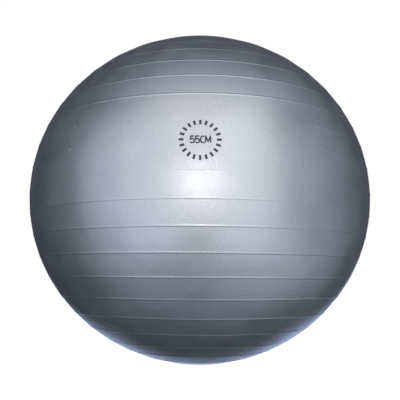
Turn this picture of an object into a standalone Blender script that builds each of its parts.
"""A 55 cm exercise ball: a ribbed vinyl shell, a valve seat welded in at its top pole, and a push-in plug.

Metres, +Z up along the axis that the ribs go round. The origin is the centre of the small flat patch
that the ball rests on. The smooth panel for the print faces -Y, and the plug pulls out along +Z.
"""

import math

import bmesh
import bpy

# The ball
BALL_WIDTH = 0.550  # across the equator, over the ribs
HEIGHT_TO_WIDTH = 0.9665  # blown up, the ball is a little shorter along its rib axis than across it
WALL = 0.0009  # the vinyl, stretched to full size
PATCH_RADIUS = 0.022  # where the ball's own weight presses it flat on the floor

# The ribs, which go round the ball like circles of latitude, one of them on the equator
RIBS_EACH_SIDE = 11
RIB_PITCH = math.radians(7.2)
UPPER_LIFT = math.radians(1.3)  # the band above the equator's rib is that much wider than the others
RIB_HEIGHT = 0.0007
RIB_WIDTH = 0.0032

# The smooth panel, where the first two ribs above the equator stop and the equator's own rib is lower
PANEL_CENTRE = math.radians(-91.8)  # angle from +X
PANEL_HALF_WIDTH = math.radians(37.8)
PANEL_RIBS = {0: 0.45, 1: 0.0, 2: 0.0}  # rib number: its share of the height inside the panel

# The valve, in its own frame: z = 0 is the top of the skin at the pole
HOLE_RADIUS = 0.0093
COLLAR_RADIUS = 0.0090
COLLAR_TOP = 0.0006
RECESS_RADIUS = 0.0074
RECESS_FLOOR = -0.0010
BORE_TOP_RADIUS = 0.0039
BORE_TOP = -0.0016
BORE_END_RADIUS = 0.0029
SLEEVE_END = -0.0300
SLEEVE_WALL = 0.0023
FLANGE_RADIUS = 0.0190
FLANGE_THICKNESS = 0.0009
PLUG_HEAD_RADIUS = 0.0069
PLUG_HEAD_TOP = 0.0011
PLUG_HEAD_CHAMFER = 0.0005
PLUG_LENGTH = 0.0250  # under the head
PLUG_SHOULDER_DEPTH = 0.0012  # how far under the head the shank begins
PLUG_TIP_LENGTH = 0.0022  # rounded over
PLUG_RING_DEPTHS = (0.006, 0.011, 0.016)  # its three sealing rings
PLUG_RING_WIDTH = 0.0014
ROUND_OVER = 0.0004  # on the valve seat's edges

GAP = 0.0003  # between pieces that touch
SHANK_CLEARANCE = 0.00035
RING_CLEARANCE = 0.00012  # sealing rings bite on the real plug, and run just free of the bore here
SHELL_SEGMENTS = 48
VALVE_SEGMENTS = 32
SAME_POINT = 5e-6

SKIN_RADIUS = BALL_WIDTH / 2 - RIB_HEIGHT
SKIN_POLE = SKIN_RADIUS * HEIGHT_TO_WIDTH
PATCH_LATITUDE = -math.acos(PATCH_RADIUS / SKIN_RADIUS)
CENTRE_HEIGHT = -SKIN_POLE * math.sin(PATCH_LATITUDE)
CAP_RING_RADII = (0.014, 0.020, 0.034)  # extra rings of points between the valve and the last rib


def skin_point(latitude, offset=0.0):
    """(radius, height) on the ball's outer skin, or offset from it along its normal."""
    radius, height = SKIN_RADIUS * math.cos(latitude), SKIN_POLE * math.sin(latitude)
    slope = (math.cos(latitude) / SKIN_RADIUS, math.sin(latitude) / SKIN_POLE)
    length = math.hypot(*slope)
    return radius + offset * slope[0] / length, CENTRE_HEIGHT + height + offset * slope[1] / length


def rib_latitude(number):
    return number * RIB_PITCH + (UPPER_LIFT if number > 0 else 0.0)


def latitude_at(radius):
    """The latitude, near the top pole, where the outer skin has this radius."""
    return math.acos(radius / SKIN_RADIUS)


def inner_height(radius):
    """Height of the shell's inner face above the valve's z = 0, near the top pole."""
    inner_radius, inner_pole = SKIN_RADIUS - WALL, SKIN_POLE - WALL
    return inner_pole * math.sqrt(1 - (radius / inner_radius) ** 2) - SKIN_POLE


def bore_radius(height):
    """Radius of the seat's tapered bore at a height in the valve's frame."""
    share = (height - SLEEVE_END) / (BORE_TOP - SLEEVE_END)
    return BORE_END_RADIUS + share * (BORE_TOP_RADIUS - BORE_END_RADIUS)


def material(name, colour, roughness, metallic=0.0):
    made = bpy.data.materials.new(name)
    made.use_nodes = True
    shader = made.node_tree.nodes["Principled BSDF"]
    shader.inputs["Base Color"].default_value = (*colour, 1.0)
    shader.inputs["Roughness"].default_value = roughness
    shader.inputs["Metallic"].default_value = metallic
    return made


def turn(profile, segments):
    """A bmesh made by turning a closed profile of (radius, height) points about Z."""
    bm = bmesh.new()
    points = [bm.verts.new((radius, 0.0, height)) for radius, height in profile]
    for point, following in zip(points, points[1:]):
        bm.edges.new((point, following))
    if profile[0][0] > 0:
        bm.edges.new((points[-1], points[0]))
    bmesh.ops.spin(
        bm,
        geom=bm.verts[:] + bm.edges[:],
        cent=(0, 0, 0),
        axis=(0, 0, 1),
        angle=math.tau,
        steps=segments,
        use_merge=True,
    )
    bmesh.ops.remove_doubles(bm, verts=bm.verts[:], dist=SAME_POINT)
    bmesh.ops.recalc_face_normals(bm, faces=bm.faces[:])
    return bm


def add_object(name, bm, look, parent, sharp_angle=math.radians(30)):
    mesh = bpy.data.meshes.new(name)
    bm.to_mesh(mesh)
    bm.free()
    mesh.shade_smooth()
    mesh.set_sharp_from_angle(angle=sharp_angle)
    mesh.materials.append(look)
    made = bpy.data.objects.new(name, mesh)
    made.parent = parent
    bpy.context.scene.collection.objects.link(made)
    return made


def add_empty(name, location, parent=None):
    made = bpy.data.objects.new(name, None)
    made.location = location
    made.parent = parent
    bpy.context.scene.collection.objects.link(made)
    return made


def shell_profile():
    """The shell's cross-section, from the centre of its floor patch, up the outside and down the inside."""
    half_rib = RIB_WIDTH / 2 / SKIN_RADIUS
    rib_numbers = range(-RIBS_EACH_SIDE, RIBS_EACH_SIDE + 1)
    outside = [(0.0, 0.0), skin_point(PATCH_LATITUDE)]
    for number in rib_numbers:
        latitude = rib_latitude(number)
        outside.append(skin_point(latitude - half_rib))
        outside.append(skin_point(latitude, RIB_HEIGHT))
        outside.append(skin_point(latitude + half_rib))
    outside += [skin_point(latitude_at(radius)) for radius in reversed(CAP_RING_RADII)]
    outside.append(skin_point(latitude_at(HOLE_RADIUS)))

    pole_height = CENTRE_HEIGHT + SKIN_POLE
    cap_radii = (HOLE_RADIUS, *CAP_RING_RADII)
    inside = [(radius, pole_height + inner_height(radius)) for radius in cap_radii]
    inside += [skin_point(rib_latitude(number), -WALL) for number in reversed(rib_numbers)]
    inner_share = (CENTRE_HEIGHT - WALL) / (SKIN_POLE - WALL)
    inside.append(((SKIN_RADIUS - WALL) * math.sqrt(1 - inner_share**2), WALL))
    inside.append((0.0, WALL))
    return outside + inside


def in_panel(point):
    turned_by = math.atan2(point.y, point.x) - PANEL_CENTRE
    return abs((turned_by + math.pi) % math.tau - math.pi) < PANEL_HALF_WIDTH


def lower_panel_ribs(bm):
    """Inside the panel, lowers the crest of each of its ribs to that rib's share of the height."""
    for number, share in PANEL_RIBS.items():
        crest_radius, crest_height = skin_point(rib_latitude(number), RIB_HEIGHT)
        low_radius, low_height = skin_point(rib_latitude(number), RIB_HEIGHT * share)
        for vert in bm.verts:
            radius = vert.co.xy.length
            off_crest = math.hypot(radius - crest_radius, vert.co.z - crest_height)
            if off_crest < SAME_POINT and in_panel(vert.co):
                shrink = low_radius / radius
                vert.co = (vert.co.x * shrink, vert.co.y * shrink, low_height)


def build_shell(parent):
    vinyl = material("silver_vinyl", (0.30, 0.32, 0.36), 0.42, 0.35)
    bm = turn(shell_profile(), SHELL_SEGMENTS)
    lower_panel_ribs(bm)
    add_object("ball_shell", bm, vinyl, parent, math.radians(60))


def flange_top(radius):
    return radius, inner_height(radius) - GAP


def build_valve_seat(parent):
    """A soft sleeve with a tapered bore, a collar in the shell's hole and a weld flange under the shell."""
    soft_vinyl = material("soft_grey_vinyl", (0.24, 0.26, 0.29), 0.50)
    edge_top = flange_top(FLANGE_RADIUS)[1]
    hub_bottom = flange_top(COLLAR_RADIUS)[1] - 2 * FLANGE_THICKNESS
    sleeve_top_radius = BORE_TOP_RADIUS + SLEEVE_WALL
    sleeve_end_radius = BORE_END_RADIUS + SLEEVE_WALL
    profile = [
        (BORE_END_RADIUS, SLEEVE_END),
        (BORE_TOP_RADIUS, BORE_TOP),
        (BORE_TOP_RADIUS + ROUND_OVER, RECESS_FLOOR),
        (RECESS_RADIUS, RECESS_FLOOR),
        (RECESS_RADIUS, COLLAR_TOP - ROUND_OVER / 2),
        (RECESS_RADIUS + ROUND_OVER / 2, COLLAR_TOP),
        (COLLAR_RADIUS - ROUND_OVER, COLLAR_TOP),
        (COLLAR_RADIUS, COLLAR_TOP - ROUND_OVER),
        flange_top(COLLAR_RADIUS),
        flange_top(CAP_RING_RADII[0]),
        flange_top(FLANGE_RADIUS),
        (FLANGE_RADIUS, edge_top - FLANGE_THICKNESS + ROUND_OVER),
        (FLANGE_RADIUS - ROUND_OVER, edge_top - FLANGE_THICKNESS),
        (COLLAR_RADIUS + ROUND_OVER, hub_bottom),
        (sleeve_top_radius + ROUND_OVER, hub_bottom - 2 * ROUND_OVER),
        (sleeve_top_radius, hub_bottom - 6 * ROUND_OVER),
        (sleeve_end_radius, SLEEVE_END + ROUND_OVER),
        (sleeve_end_radius - ROUND_OVER, SLEEVE_END),
    ]
    add_object("valve_seat", turn(profile, VALVE_SEGMENTS), soft_vinyl, parent)


def build_plug(parent):
    """A hard tapered plug: flat head, three sealing rings and a rounded tip."""
    white_plastic = material("white_plastic", (0.80, 0.80, 0.78), 0.35)
    head_bottom = RECESS_FLOOR + GAP

    def shank(depth, clearance=SHANK_CLEARANCE):
        height = head_bottom - depth
        return bore_radius(height) - clearance, height

    profile = [
        (0.0, PLUG_HEAD_TOP),
        (PLUG_HEAD_RADIUS - PLUG_HEAD_CHAMFER, PLUG_HEAD_TOP),
        (PLUG_HEAD_RADIUS, PLUG_HEAD_TOP - PLUG_HEAD_CHAMFER),
        (PLUG_HEAD_RADIUS, head_bottom + PLUG_HEAD_CHAMFER),
        (PLUG_HEAD_RADIUS - PLUG_HEAD_CHAMFER, head_bottom),
        (BORE_TOP_RADIUS, head_bottom),
        shank(PLUG_SHOULDER_DEPTH),
    ]
    for depth in PLUG_RING_DEPTHS:
        profile += [
            shank(depth - PLUG_RING_WIDTH / 2),
            shank(depth - PLUG_RING_WIDTH / 6, RING_CLEARANCE),
            shank(depth + PLUG_RING_WIDTH / 6, RING_CLEARANCE),
            shank(depth + PLUG_RING_WIDTH / 2),
        ]
    tip_radius, tip_start = shank(PLUG_LENGTH - PLUG_TIP_LENGTH)
    for angle in (math.radians(degrees) for degrees in (0, 30, 60)):
        rounded = (tip_radius * math.cos(angle), tip_start - PLUG_TIP_LENGTH * math.sin(angle))
        profile.append(rounded)
    profile.append((0.0, tip_start - PLUG_TIP_LENGTH))
    add_object("valve_plug", turn(profile, VALVE_SEGMENTS), white_plastic, parent)


def main():
    for old in list(bpy.data.objects):
        bpy.data.objects.remove(old)
    ball = add_empty("ball", (0, 0, 0))
    valve = add_empty("valve", (0, 0, CENTRE_HEIGHT + SKIN_POLE), ball)
    build_shell(ball)
    build_valve_seat(valve)
    build_plug(valve)


main()
